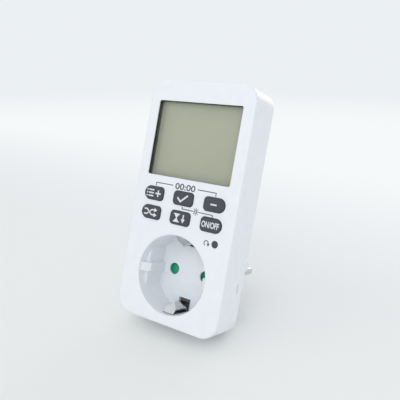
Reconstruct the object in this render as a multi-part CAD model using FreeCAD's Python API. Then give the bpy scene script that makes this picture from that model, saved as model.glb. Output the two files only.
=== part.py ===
import FreeCAD, Part
import math
import os

V = FreeCAD.Vector

# Frame: X to the right, Y towards the wall, Z up. The origin is the centre of the socket well's mouth,
# on the flat front face. All sizes are in millimetres.

# Housing
body_width = 60.0
body_height = 121.0
socket_height = 25.0
corner_radius = 9.0
front_edge_radius = 1.2
front_depth = 19.5
body_depth = 34.0
side_taper = 6.5
top_taper = 2.0
bottom_taper = 0.5
back_edge_radius = 3.0
back_edge_steps = 4
wall = 2.0
lip_depth = 2.0
lip_thickness = 0.9
lip_clearance = 0.1

# Socket well in the front face, and the holes in its floor
well_radius = 19.7
well_depth = 17.5
well_wall = 1.6
well_rim_chamfer = 0.3
floor_thickness = 2.0
pin_spacing = 19.0
pin_hole_radius = 3.0
pin_hole_lip = 1.0
pin_hole_relief_radius = 4.4
ledge_depth = 5.0
ledge_half_width = 17.1
rib_half_width = 15.6
rib_height = 4.4
rib_lead_depth = 1.5
rib_lead_length = 3.3
earth_slot_width = 7.0
earth_slot_start = 3.2
earth_slot_gap = 0.6

# Plug on the back
plug_radius = 18.5
plug_length = 17.0
plug_wall = 2.2
plug_edge_chamfer = 0.8
plug_face_wall = 2.5
plug_fit = 0.3
plug_hollow_half_width = 13.2
plug_hollow_half_height = 14.4
pin_radius = 2.4
pin_length = 19.0
pin_tip_length = 1.6
pin_collar_radius = 2.9
pin_head_radius = 3.5
pin_head_thickness = 1.5
pin_boss_radius = 4.6
pin_boss_length = 8.0
press_gap = 0.05

# Display window and the stack behind it
display_side_margin = 6.0
display_top_margin = 10.9
display_low = 47.4
display_corner = 1.0
window_step = 0.5
window_margin = 1.3
window_thickness = 1.0
window_gap = 0.2
glass_margin = 1.1
glass_thickness = 2.0
frame_wall = 1.0
frame_step = 1.9
zebra_width = 2.0
board_gap = 7.4
board_thickness = 1.6

# Keys
key_pitch_x = 17.7
key_pitch_z = 9.65
key_row_low = 28.4
key_width = 11.5
key_height = 6.6
key_corner = 1.8
key_proud = 0.9
key_edge_chamfer = 0.45
key_gap = 0.25
key_flange = 0.8
key_flange_thickness = 1.0
key_travel = 0.8
key_stem_width = 8.0
key_stem_height = 3.6
mat_thickness = 1.0
mat_collar_height = 3.2
mat_collar_wall = 0.7
mat_gap = 0.3
running_gap = 0.3

# Reset key
reset_x = 21.45
reset_z = 19.95
reset_radius = 1.55
reset_hole_radius = 1.8
reset_recess = 0.3
reset_flange_radius = 2.3
reset_travel = 0.5

# Screws and their posts
screw_inset_x = 10.5
screw_low_inset = 6.7
screw_top_inset_x = 12.0
screw_top_inset = 8.2
screw_radius = 1.2
screw_head_radius = 2.4
screw_head_height = 1.6
screw_reach = 5.1
screw_hole_radius = 1.45
counterbore_radius = 2.7
counterbore_depth = 2.2
post_radius = 2.9
top_post_length = 7.0
board_screw_radius = 0.9
board_screw_head_radius = 1.7
board_screw_head_height = 1.0
board_screw_length = 6.0
board_post_radius = 1.8
board_post_inset_x = 5.0
board_post_top_inset = 6.6
board_post_low_z = 15.0
board_edge_gap = 0.6
board_well_gap = 1.6
board_margin = 2.2

# Side snaps that hold the two covers together
snap_slot_y = 14.0
snap_slot_depth = 1.2
snap_slot_length = 4.6
snap_z = -0.3
snap_arm_thickness = 1.2
snap_gap = 0.2

# Shutter behind the floor of the well
shutter_gap = 0.3
shutter_thickness = 2.2
shutter_radius = 13.2
shutter_cover = 0.35
shutter_hub_radius = 3.6
shutter_pivot_radius = 1.6
shutter_pivot_gap = 0.06
shutter_ramp = 1.4

# Contact carrier, contacts and earth
carrier_gap = 0.3
carrier_radius = 18.3
carrier_back_gap = 3.1
contact_inner_radius = 2.2
contact_wall = 0.6
contact_start = 23.0
contact_head_gap = 3.0
contact_slot = 1.0
tail_width = 4.0
tail_thickness = 0.8
earth_width = 6.0
earth_thickness = 0.7
earth_clip_reach = 5.6
earth_clip_fall = 2.8
earth_leaf_inset = 1.3
bridge_gap = 1.4

# Power board and its parts
power_board_back_gap = 2.4
power_board_side_gap = 7.6
power_board_low = 24.5
power_board_top_gap = 12.0
relay_edge_inset = 9.0
relay_low = 43.4
relay_length = 29.0
relay_width = 12.7
relay_front_gap = 1.5
relay_wall = 0.7
relay_base_thickness = 1.5
film_low = 44.6
film_edge_inset = 2.0
film_length = 18.0
film_width = 8.0
film_height = 13.5
can_radius = 4.0
can_height = 11.0
can_x = -5.0
can_rows = [50.0, 60.0]
can_lead_pitch = 2.6
diode_radius = 1.3
diode_length = 5.0
diode_x = -3.0
diode_rows = [28.4, 31.9, 35.4, 38.9]
resistor_radius = 1.1
resistor_length = 6.0
resistor_x = -17.0
resistor_rows = [34.0, 38.0, 42.0]
regulator_x = 14.0
regulator_z = 37.0
regulator_radius = 2.4
regulator_height = 4.6
regulator_lift = 2.4
regulator_lead_pitch = 1.27
lead_radius = 0.35
lead_reach = 1.6

# Display board parts
cell_radius = 7.8
cell_thickness = 6.0
cell_x = -7.0
cell_gap = 1.8
tab_thickness = 0.3
crystal_radius = 1.0
crystal_length = 6.0
crystal_z = 31.0
link_pin_pitch = 2.54
link_pin_count = 5
link_pin_z = 43.3
link_pin_width = 0.64
chip_half_size = 5.0
chip_x = 10.0
chip_z = 34.0

z_low = -socket_height
z_high = body_height - socket_height
half_width = body_width / 2
board_y = wall + board_gap
board_back = board_y + board_thickness
floor_back = well_depth + floor_thickness
plug_face = body_depth + plug_length
rear_wall_y = body_depth - wall
screw_seat = body_depth - counterbore_depth
screw_length = screw_seat - front_depth + screw_reach
pin_x = pin_spacing / 2
shutter_half_angle = math.degrees(math.asin((pin_hole_radius + shutter_cover) / pin_x))
pin_head_front = plug_face - plug_face_wall - pin_boss_length - pin_head_thickness
carrier_y = floor_back + shutter_gap + shutter_thickness + carrier_gap
carrier_depth = rear_wall_y - carrier_back_gap - carrier_y
contact_length = pin_head_front - contact_head_gap - contact_start
bridge_y = rear_wall_y - bridge_gap
display_width = body_width - 2 * display_side_margin
display_height = z_high - display_top_margin - display_low
power_board_y = rear_wall_y - power_board_back_gap - board_thickness
power_board_half_width = half_width - power_board_side_gap
power_board_high = z_high - power_board_top_gap
relay_x = power_board_half_width - relay_edge_inset
relay_height = power_board_y - board_back - relay_front_gap
cell_z = film_low + film_length + cell_radius + cell_gap
screw_x = half_width - screw_inset_x
screw_top_x = half_width - screw_top_inset_x
board_post_x = half_width - board_post_inset_x
key_columns = [-key_pitch_x, 0.0, key_pitch_x]
key_rows = [key_row_low + key_pitch_z, key_row_low]
link_pin_columns = [(index - (link_pin_count - 1) / 2) * link_pin_pitch for index in range(link_pin_count)]
cover_screws = [
    (-screw_x, z_low + screw_low_inset),
    (screw_x, z_low + screw_low_inset),
    (-screw_top_x, z_high - screw_top_inset),
    (screw_top_x, z_high - screw_top_inset),
]
board_posts = [
    (-board_post_x, board_post_low_z),
    (board_post_x, board_post_low_z),
    (-board_post_x, z_high - board_post_top_inset),
    (board_post_x, z_high - board_post_top_inset),
]


def outline(x_low, x_high, low, high, radii, y):
    """Closed wire at depth y; radii are the corners bottom left, bottom right, top right, top left."""
    corners = [(x_low, low, 1, 1), (x_high, low, -1, 1), (x_high, high, -1, -1), (x_low, high, 1, -1)]
    ends = []
    for index, (x, z, sx, sz) in enumerate(corners):
        r = radii[index]
        beside = V(x + sx * r, y, z)
        upright = V(x, y, z + sz * r)
        middle = V(x + sx * r * (1 - math.sqrt(0.5)), y, z + sz * r * (1 - math.sqrt(0.5)))
        if index in (0, 2):
            ends.append((upright, middle, beside))
        else:
            ends.append((beside, middle, upright))
    edges = []
    for index in range(4):
        start, middle, end = ends[index]
        following = ends[(index + 1) % 4][0]
        edges.append(Part.Arc(start, middle, end).toShape())
        if end.distanceToPoint(following) > 1e-6:
            edges.append(Part.LineSegment(end, following).toShape())
    return Part.Wire(edges)


def plate(x_low, x_high, low, high, radius, y_low, y_high):
    """Plate seen from the front as a rectangle with rounded corners."""
    radii = radius if isinstance(radius, list) else [radius] * 4
    return Part.Face(outline(x_low, x_high, low, high, radii, y_low)).extrude(V(0, y_high - y_low, 0))


def block(x_low, x_high, y_low, y_high, low, high):
    return Part.makeBox(x_high - x_low, y_high - y_low, high - low, V(x_low, y_low, low))


def rod(radius, y_low, y_high, x=0.0, z=0.0):
    """Cylinder along the depth."""
    return Part.makeCylinder(radius, y_high - y_low, V(x, y_low, z), V(0, 1, 0))


def ring(outer, inner, y_low, y_high, x=0.0, z=0.0):
    return rod(outer, y_low, y_high, x, z).cut(rod(inner, y_low, y_high, x, z))


def fuse(shapes):
    return shapes[0].multiFuse(shapes[1:]).removeSplitter()


def edges_at(shape, test):
    """Edges whose every vertex passes the test."""
    return [edge for edge in shape.Edges if all(test(vertex.Point) for vertex in edge.Vertexes)]


def strip(points, thickness, x_mid, width):
    """Bent sheet strip along the (y, z) points; seen from the right, its thickness lies on their left."""
    inner = []
    count = len(points)
    for index, (y, z) in enumerate(points):
        normals = []
        if index > 0:
            normals.append(unit_normal(points[index - 1], points[index]))
        if index < count - 1:
            normals.append(unit_normal(points[index], points[index + 1]))
        ny = sum(n[0] for n in normals)
        nz = sum(n[1] for n in normals)
        scale = thickness / (0.5 * (ny * ny + nz * nz)) if len(normals) == 2 else thickness
        inner.append((y + ny * scale, z + nz * scale))
    loop = [V(x_mid - width / 2, y, z) for y, z in points + inner[::-1]]
    return Part.Face(Part.makePolygon(loop + loop[:1])).extrude(V(width, 0, 0))


def unit_normal(start, end):
    dy = end[0] - start[0]
    dz = end[1] - start[1]
    length = math.hypot(dy, dz)
    return (-dz / length, dy / length)


def body_section(y, inset):
    """Outline of the housing at depth y, drawn in by inset; behind the front cover it tapers."""
    along = max(0.0, y - front_depth) / (body_depth - front_depth)
    x = half_width - side_taper * along - inset
    low = z_low + bottom_taper * along + inset
    high = z_high - top_taper * along - inset
    return outline(-x, x, low, high, [corner_radius - inset] * 4, y)


def body_loft(y_low, y_high, inset):
    return Part.makeLoft([body_section(y_low, inset), body_section(y_high, inset)], True, True)


def rounded_body():
    """Tapered outside of the rear cover; its back edge is rounded in steps."""
    start = body_depth - back_edge_radius
    sections = [body_section(front_depth, 0.0), body_section(start, 0.0)]
    for step in range(1, back_edge_steps + 1):
        angle = math.pi / 2 * step / back_edge_steps
        sections.append(body_section(start + back_edge_radius * math.sin(angle),
                                     back_edge_radius * (1 - math.cos(angle))))
    return Part.makeLoft(sections, True, True)


def key_outline(column, row, grow):
    """Corner positions and radii of a key; the outer ends of the outer keys are half round."""
    x = key_columns[column]
    z = key_rows[row]
    round_end = key_height / 2 - 0.05 + grow
    small = key_corner + grow
    radii = [small] * 4
    if column == 0:
        radii = [round_end, small, small, round_end]
    if column == 2:
        radii = [small, round_end, round_end, small]
    half_w = key_width / 2 + grow
    half_h = key_height / 2 + grow
    return x - half_w, x + half_w, z - half_h, z + half_h, radii


# Front cover: face, skirt, the socket well with its ledges, guide ribs and floor, posts and snap slots
def make_front_cover():
    outer = plate(-half_width, half_width, z_low, z_high, corner_radius, 0, front_depth)
    outer = outer.makeFillet(front_edge_radius, edges_at(outer, lambda p: abs(p.y) < 1e-6))
    inside = plate(-half_width + wall, half_width - wall, z_low + wall, z_high - wall,
                   corner_radius - wall, wall, front_depth)
    shell = outer.cut(inside)
    lip = lip_thickness + lip_clearance
    lip_seat = plate(-half_width + wall - lip, half_width - wall + lip, z_low + wall - lip, z_high - wall + lip,
                     corner_radius - wall + lip, front_depth - lip_depth - lip_clearance, front_depth)
    shell = shell.cut(lip_seat)

    added = [shell, rod(well_radius + well_wall, 0, floor_back)]
    for x, z in cover_screws[:2]:
        added.append(rod(post_radius, 0.5 * wall, front_depth, x, z))
    for x, z in cover_screws[2:]:
        added.append(rod(post_radius, front_depth - top_post_length, front_depth, x, z))
        added.append(block(x - post_radius, x + post_radius, front_depth - top_post_length,
                           front_depth - lip_depth - 2 * lip_clearance, z, z_high - 0.5 * wall))
    for x, z in board_posts:
        added.append(rod(board_post_radius, 0.5 * wall, board_y, x, z))
    cover = fuse(added)

    well = rod(well_radius, -1, well_depth)
    ledges = rod(well_radius + well_wall, ledge_depth, well_depth + 1)
    ledges = ledges.cut(block(-ledge_half_width, ledge_half_width, 0, well_depth + 2, -well_radius * 2,
                              well_radius * 2))
    well = well.cut(ledges)
    for side in (-1, 1):
        low_x, high_x = sorted((side * rib_half_width, side * (well_radius + well_wall)))
        rib = block(low_x, high_x, rib_lead_depth, well_depth + 1, -rib_height / 2, rib_height / 2)
        lead = [e for e in edges_at(rib, lambda p: abs(p.x - side * rib_half_width) < 1e-6)
                if abs(e.Vertexes[0].Y - rib_lead_depth) < 1e-6 and abs(e.Vertexes[1].Y - rib_lead_depth) < 1e-6]
        rib = rib.makeChamfer(rib_lead_length, lead)
        well = well.cut(rib)
    rim = Part.makeCone(well_radius + well_rim_chamfer + 0.5, well_radius, well_rim_chamfer + 0.5,
                        V(0, -0.5, 0), V(0, 1, 0))
    cuts = [well, rim]
    for side in (-1, 1):
        cuts.append(rod(pin_hole_radius, well_depth - 1, floor_back + 1, side * pin_x))
        cuts.append(rod(pin_hole_relief_radius, well_depth + pin_hole_lip, floor_back + 1, side * pin_x))
        low, high = sorted((side * (well_radius - earth_clip_reach - earth_slot_gap),
                            side * (well_radius + well_wall + 1)))
        cuts.append(block(-earth_slot_width / 2, earth_slot_width / 2, earth_slot_start, floor_back + 1, low, high))
        cuts.append(block(side * half_width - wall - 1, side * half_width + wall + 1, snap_slot_y,
                          snap_slot_y + snap_slot_depth, snap_z - snap_slot_length / 2, snap_z + snap_slot_length / 2))
    cuts.append(plate(-display_width / 2, display_width / 2, display_low, display_low + display_height,
                      display_corner, -1, wall + 1))
    edge = window_margin + window_gap
    cuts.append(plate(-display_width / 2 - edge, display_width / 2 + edge, display_low - edge,
                      display_low + display_height + edge, display_corner, window_step, wall + 1))
    for column in range(3):
        for row in range(2):
            x0, x1, z0, z1, radii = key_outline(column, row, key_gap)
            cuts.append(plate(x0, x1, z0, z1, radii, -1, wall + 1))
    cuts.append(rod(reset_hole_radius, -1, wall + 1, reset_x, reset_z))
    for x, z in cover_screws:
        cuts.append(rod(screw_radius + press_gap, front_depth - top_post_length + 1.5, front_depth + 1, x, z))
    for x, z in board_posts:
        cuts.append(rod(board_screw_radius + press_gap, board_y - board_screw_length + board_thickness - 0.3,
                        board_y + 1, x, z))
    cover = cover.cut(Part.makeCompound(cuts))
    pivot = rod(shutter_pivot_radius, well_depth + 0.5, carrier_y - 0.1)
    return fuse([cover, pivot])


# Rear cover: tapered shell, tongue, snap arms, screw towers and the round plug body
def make_rear_cover():
    outer = rounded_body()
    inside = body_loft(front_depth, rear_wall_y, wall)
    shell = outer.cut(inside)
    gap = wall - lip_thickness
    tongue = plate(-half_width + gap, half_width - gap, z_low + gap, z_high - gap, corner_radius - gap,
                   front_depth - lip_depth, front_depth)
    tongue = tongue.cut(plate(-half_width + wall, half_width - wall, z_low + wall, z_high - wall,
                              corner_radius - wall, front_depth - lip_depth, front_depth))
    plug = rod(plug_radius, rear_wall_y + 0.5 * wall, plug_face)
    plug = plug.makeChamfer(plug_edge_chamfer, edges_at(plug, lambda p: abs(p.y - plug_face) < 1e-6))
    added = [shell, tongue, plug]
    for x, z in cover_screws:
        added.append(rod(post_radius, front_depth, rear_wall_y + 0.5 * wall, x, z))
    for side in (-1, 1):
        x_out = side * (half_width - wall - snap_gap)
        x_in = x_out - side * snap_arm_thickness
        arm = block(min(x_in, x_out), max(x_in, x_out), snap_slot_y - 0.8, front_depth + wall,
                    snap_z - 0.5 * snap_slot_length - 1, snap_z + 0.5 * snap_slot_length + 1)
        foot_in = side * (half_width - 2 * wall - snap_arm_thickness)
        foot_out = side * (half_width - 0.6 * wall)
        foot = block(min(foot_in, foot_out), max(foot_in, foot_out), front_depth, front_depth + wall,
                     snap_z - 0.5 * snap_slot_length - 1, snap_z + 0.5 * snap_slot_length + 1)
        nose_out = x_out + side * (snap_gap + 0.5 * wall)
        nose = block(min(x_out, nose_out), max(x_out, nose_out), snap_slot_y + snap_gap,
                     snap_slot_y + snap_slot_depth - snap_gap, snap_z - 0.5 * snap_slot_length + snap_gap,
                     snap_z + 0.5 * snap_slot_length - snap_gap)
        added += [arm, foot, nose]
    cover = fuse(added)

    hollow = rod(plug_radius - plug_wall, rear_wall_y - 1, plug_face - plug_face_wall)
    hollow = hollow.common(block(-plug_hollow_half_width, plug_hollow_half_width, 0, plug_face,
                                 -plug_hollow_half_height, plug_hollow_half_height))
    for side in (-1, 1):
        hollow = hollow.cut(rod(pin_boss_radius, pin_head_front + pin_head_thickness, plug_face, side * pin_x))
    cuts = [hollow]
    flat_from = plug_face - (well_depth - ledge_depth) - plug_fit
    for side in (-1, 1):
        flat_x = side * (ledge_half_width - plug_fit)
        groove_x = side * (rib_half_width - plug_fit)
        far_x = side * (plug_radius + 1)
        cuts.append(block(min(flat_x, far_x), max(flat_x, far_x), flat_from, plug_face + 1, -plug_radius, plug_radius))
        cuts.append(block(min(groove_x, far_x), max(groove_x, far_x), body_depth, plug_face + 1,
                          -rib_height / 2 - plug_fit, rib_height / 2 + plug_fit))
        leaf = side * (plug_radius - earth_leaf_inset - earth_thickness - 0.2)
        far_z = side * (plug_radius + 1)
        cuts.append(block(-earth_width / 2 - 0.4, earth_width / 2 + 0.4, rear_wall_y - 1, plug_face - 1.2,
                          min(leaf, far_z), max(leaf, far_z)))
        cuts.append(rod(pin_collar_radius + press_gap, rear_wall_y, plug_face + 1, side * pin_x))
    for x, z in cover_screws:
        cuts.append(rod(screw_hole_radius, front_depth - lip_depth, body_depth + 1, x, z))
        cuts.append(rod(counterbore_radius, body_depth - counterbore_depth, body_depth + 1, x, z))
    return cover.cut(Part.makeCompound(cuts))


# Screws: round heads, plain shanks
def make_cover_screws():
    screws = []
    for x, z in cover_screws:
        shank = rod(screw_radius, screw_seat - screw_length, screw_seat, x, z)
        head = rod(screw_head_radius, screw_seat, screw_seat + screw_head_height, x, z)
        recess = 0.5 * screw_head_height
        slot = block(x - 1.5, x + 1.5, screw_seat + recess, body_depth, z - 0.3, z + 0.3)
        cross = block(x - 0.3, x + 0.3, screw_seat + recess, body_depth, z - 1.5, z + 1.5)
        screws.append(shank.fuse(head).cut(slot.fuse(cross)).removeSplitter())
    return Part.makeCompound(screws)


def make_board_screws():
    screws = []
    for x, z in board_posts:
        shank = rod(board_screw_radius, board_back - board_screw_length, board_back, x, z)
        head = rod(board_screw_head_radius, board_back, board_back + board_screw_head_height, x, z)
        screws.append(shank.fuse(head).removeSplitter())
    return Part.makeCompound(screws)


# Display: clear window, glass cell, its frame and the two contact strips
def make_lcd_window():
    edge = window_margin
    return plate(-display_width / 2 - edge, display_width / 2 + edge, display_low - edge,
                 display_low + display_height + edge, display_corner, window_step, window_step + window_thickness)


def glass_box(grow, y_low, y_high):
    edge = glass_margin + grow
    return block(-display_width / 2 - edge, display_width / 2 + edge, y_low, y_high,
                 display_low - edge, display_low + display_height + edge)


glass_y = window_step + window_thickness + frame_step + 0.1


def make_lcd_panel():
    return glass_box(0.0, glass_y, glass_y + glass_thickness)


def make_lcd_frame():
    """Dark frame: its front stands in the rebate behind the window, its back holds the glass."""
    front = window_step + window_thickness
    edge = window_margin
    collar = plate(-display_width / 2 - edge, display_width / 2 + edge, display_low - edge,
                   display_low + display_height + edge, display_corner, front, glass_y)
    frame = collar.fuse(glass_box(frame_wall, wall + window_gap, board_y))
    frame = frame.cut(glass_box(press_gap, glass_y, board_y))
    view = plate(-display_width / 2, display_width / 2, display_low, display_low + display_height,
                 display_corner, front - 1, glass_y + 1)
    return frame.cut(view).removeSplitter()


def make_zebra_strips():
    strips = []
    reach = display_width / 2 - 2
    edge = glass_margin - 0.1
    for low in (display_low - edge, display_low + display_height + edge - zebra_width):
        strips.append(block(-reach, reach, glass_y + glass_thickness, board_y, low, low + zebra_width))
    return Part.makeCompound(strips)


# Display board, cut away round the socket well
def make_display_board():
    x = half_width - wall - board_edge_gap
    board = plate(-x, x, board_post_low_z - board_margin, z_high - wall - board_edge_gap,
                  corner_radius - wall - board_edge_gap, board_y, board_back)
    board = board.cut(rod(well_radius + well_wall + board_well_gap, 0, body_depth))
    for px, pz in board_posts:
        board = board.cut(rod(board_screw_radius + 0.2, 0, body_depth, px, pz))
    return board.cut(link_pin_row(link_pin_width * 0.8))


def link_pin_row(radius):
    pins = []
    for x in link_pin_columns:
        pins.append(rod(radius, board_y - 1, power_board_y + board_thickness + 1, x, link_pin_z))
    return Part.makeCompound(pins)


def make_link_pins():
    pins = []
    half = link_pin_width / 2
    for x in link_pin_columns:
        pins.append(block(x - half, x + half, board_y - 0.6, power_board_y + board_thickness + 0.3,
                          link_pin_z - half, link_pin_z + half))
    return Part.makeCompound(pins)


def make_link_strip():
    half = link_pin_pitch * link_pin_count / 2
    bar = block(-half, half, board_back, board_back + 2.5, link_pin_z - 1.25, link_pin_z + 1.25)
    return bar.cut(make_link_pins())


def make_microcontroller():
    size = chip_half_size
    body = block(chip_x - size, chip_x + size, board_back + 0.1, board_back + 1.5, chip_z - size, chip_z + size)
    legs = []
    for index in range(8):
        step = (index - 3.5) * 1.1
        legs.append(block(chip_x - size - 1, chip_x + size + 1, board_back, board_back + 0.25,
                          chip_z + step - 0.2, chip_z + step + 0.2))
        legs.append(block(chip_x + step - 0.2, chip_x + step + 0.2, board_back, board_back + 0.25,
                          chip_z - size - 1, chip_z + size + 1))
    return fuse([body] + legs)


def make_crystal():
    axis_y = board_back + crystal_radius + 0.05
    parts = [Part.makeCylinder(crystal_radius, crystal_length, V(0, axis_y, crystal_z), V(0, 0, 1))]
    for x in (-0.4, 0.4):
        parts.append(Part.makeCylinder(0.15, 2.0, V(x, axis_y, crystal_z - 2.0), V(0, 0, 1)))
        parts.append(block(x - 0.15, x + 0.15, board_back, axis_y + 0.15, crystal_z - 2.3, crystal_z - 2.0))
    return fuse(parts)


def make_backup_battery():
    y = board_back + tab_thickness
    cell = rod(cell_radius, y, y + cell_thickness, cell_x, cell_z)
    rim = edges_at(cell, lambda p: abs(p.y - y - cell_thickness) < 1e-6)
    return cell.makeChamfer(0.6, rim)


def make_battery_tabs():
    y = board_back + tab_thickness
    low = block(cell_x - 2, cell_x + 2, board_back, y, cell_z - cell_radius - 3, cell_z + 3)
    far = y + cell_thickness
    high = block(cell_x - 2, cell_x + 2, far, far + tab_thickness, cell_z - 3, cell_z + cell_radius + 1)
    leg = block(cell_x - 2, cell_x + 2, board_back, far + tab_thickness, cell_z + cell_radius + 1,
                cell_z + cell_radius + 1 + tab_thickness)
    return Part.makeCompound([low, high.fuse(leg).removeSplitter()])


# Keypad: a rubber mat with a collar round each key's stem
stem_end = board_y - key_travel - mat_gap


def stem_box(column, row, grow, y_low, y_high):
    x = key_columns[column]
    z = key_rows[row]
    return block(x - key_stem_width / 2 - grow, x + key_stem_width / 2 + grow, y_low, y_high,
                 z - key_stem_height / 2 - grow, z + key_stem_height / 2 + grow)


def make_keypad_mat():
    x = key_pitch_x + key_width / 2
    sheet = plate(-x, x, key_rows[1] - key_height / 2, key_rows[0] + key_height / 2, 1.0,
                  board_y - mat_thickness, board_y)
    parts = [sheet]
    holes = []
    for column in range(3):
        for row in range(2):
            parts.append(stem_box(column, row, mat_gap + mat_collar_wall, board_y - mat_collar_height, board_y))
            holes.append(stem_box(column, row, mat_gap, 0, board_y + 1))
    return fuse(parts).cut(Part.makeCompound(holes))


def make_key(column, row):
    """Rubber key: cap with eased edges through the face, flange behind it, stem with its contact pill."""
    x0, x1, z0, z1, radii = key_outline(column, row, 0.0)
    cap = plate(x0, x1, z0, z1, radii, -key_proud, wall + running_gap + key_flange_thickness)
    cap = cap.makeChamfer(key_edge_chamfer, edges_at(cap, lambda p: abs(p.y + key_proud) < 1e-6))
    x0, x1, z0, z1, radii = key_outline(column, row, key_flange)
    flange_y = wall + running_gap
    flange = plate(x0, x1, z0, z1, radii, flange_y, flange_y + key_flange_thickness)
    stem = stem_box(column, row, 0.0, flange_y, stem_end)
    return fuse([cap, flange, stem])


def make_reset_key():
    flange_y = wall + running_gap
    cap = rod(reset_radius, reset_recess, flange_y + 1, reset_x, reset_z)
    flange = rod(reset_flange_radius, flange_y, flange_y + key_flange_thickness, reset_x, reset_z)
    stem = rod(reset_radius * 0.7, flange_y, board_y - reset_travel - mat_gap, reset_x, reset_z)
    return fuse([cap, flange, stem])


def make_reset_pad():
    """Rubber collar on the board that returns the reset key."""
    low = board_y - mat_collar_height
    return ring(reset_flange_radius, reset_radius * 0.7 + mat_gap, low, board_y, reset_x, reset_z)


# Shutter: two lobes that turn together off the pin holes, its spring, and the contact carrier behind it
shutter_y = floor_back + shutter_gap


def make_shutter():
    lobes = []
    angle = 2 * shutter_half_angle
    for start in (-shutter_half_angle, 180 - shutter_half_angle):
        lobe = Part.makeCylinder(shutter_radius, shutter_thickness, V(0, 0, 0), V(0, 0, 1), angle)
        lobe.rotate(V(0, 0, 0), V(0, 0, 1), start)
        lobe.rotate(V(0, 0, 0), V(1, 0, 0), -90)
        lobe.translate(V(0, shutter_y, 0))
        lobes.append(lobe)
    hub = rod(shutter_hub_radius, shutter_y, shutter_y + shutter_thickness)
    body = fuse([hub] + lobes)
    for side in (-1, 1):
        reach = pin_hole_radius * 1.4
        corner = [
            V(side * pin_x - 8, shutter_y - 0.1, side * reach),
            V(side * pin_x - 8, shutter_y - 0.1, -side * reach),
            V(side * pin_x - 8, shutter_y + shutter_ramp, -side * reach),
        ]
        ramp = Part.Face(Part.makePolygon(corner + corner[:1])).extrude(V(16, 0, 0))
        keep = ring(pin_x + pin_hole_radius, pin_x - pin_hole_radius, shutter_y - 1, shutter_y + shutter_thickness)
        body = body.cut(ramp.common(keep))
    return body.cut(rod(shutter_pivot_radius + shutter_pivot_gap, 0, body_depth))


def make_shutter_spring():
    """Flat spring on the hub's back; its long leg lies in the carrier's pocket."""
    y = shutter_y + shutter_thickness
    return ring(shutter_hub_radius - 0.4, shutter_pivot_radius + 0.3, y, y + 0.25).fuse(
        block(shutter_hub_radius - 1.0, shutter_radius - 2, y, y + 0.25, -0.6, 0.6)).removeSplitter()


def make_contact_carrier():
    body = rod(carrier_radius, carrier_y + 0.3, carrier_y + carrier_depth)
    wall_ring = ring(carrier_radius, shutter_radius + 0.8, floor_back, carrier_y + 0.3)
    body = body.fuse(wall_ring)
    far = carrier_radius + 1
    cuts = []
    for side in (-1, 1):
        cuts.append(rod(contact_inner_radius + contact_wall + press_gap, carrier_y, body_depth, side * pin_x))
        x = side * pin_x
        cuts.append(block(x - tail_width / 2 - 0.1, x + tail_width / 2 + 0.1, contact_start - 0.1,
                          contact_start + tail_thickness + 0.1, 0, far))
        low, high = sorted((side * (carrier_radius - 2.6), side * far))
        cuts.append(block(-earth_width / 2 - 0.4, earth_width / 2 + 0.4, 0, body_depth, low, high))
    return body.cut(Part.makeCompound(cuts)).removeSplitter()


# Contacts: split tubes behind the pin holes, with a tail to the power board
def contact_tube(x):
    outer = contact_inner_radius + contact_wall
    tube = ring(outer, contact_inner_radius, contact_start, contact_start + contact_length, x)
    slot = block(x - outer - 1, x + outer + 1, contact_start + 3, contact_start + contact_length + 1,
                 -contact_slot / 2, contact_slot / 2)
    slot_b = block(x - contact_slot / 2, x + contact_slot / 2, contact_start + 3,
                   contact_start + contact_length + 1, -outer - 1, 0)
    return tube.cut(slot.fuse(slot_b))


def contact_tail(x):
    rise = block(x - tail_width / 2, x + tail_width / 2, contact_start, contact_start + tail_thickness,
                 contact_inner_radius + contact_wall / 2, power_board_low + 4)
    foot = block(x - tail_width / 2, x + tail_width / 2, contact_start, power_board_y,
                 power_board_low + 4 - tail_thickness, power_board_low + 4)
    return rise.fuse(foot)


def make_live_contact():
    return fuse([contact_tube(pin_x), contact_tail(pin_x)])


def make_neutral_contact():
    outer = contact_inner_radius + contact_wall
    link = block(-pin_x - tail_width / 2, -pin_x + tail_width / 2, contact_start + contact_length - 3,
                 pin_head_front, outer - 0.25, outer + 0.45)
    tab = block(-pin_x - tail_width / 2, -pin_x + tail_width / 2, pin_head_front - tail_thickness,
                pin_head_front, outer - 0.25, pin_head_radius)
    return fuse([contact_tube(-pin_x), contact_tail(-pin_x), link, tab])


def make_live_strap():
    """Strip from the live pin's head up to the power board."""
    board_rear = power_board_y + board_thickness
    shelf = 9.6
    rise_y = board_rear + 0.4
    top = power_board_low + 2
    path = [(pin_head_front, contact_inner_radius + 1), (pin_head_front, shelf), (rise_y + tail_thickness, shelf),
            (rise_y + tail_thickness, top), (board_rear, top)]
    return strip(path, tail_thickness, pin_x, tail_width)


def make_plug_pin(side):
    """Solid pin pressed in from inside: head, collar in the plug's wall, and the slimmer free length."""
    shank = rod(pin_radius, pin_head_front, plug_face + pin_length, side * pin_x)
    tip = edges_at(shank, lambda p: abs(p.y - plug_face - pin_length) < 1e-6)
    shank = shank.makeFillet(pin_tip_length, tip)
    collar = rod(pin_collar_radius, pin_head_front, plug_face, side * pin_x)
    head = rod(pin_head_radius, pin_head_front, pin_head_front + pin_head_thickness, side * pin_x)
    return fuse([shank, collar, head])


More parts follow.
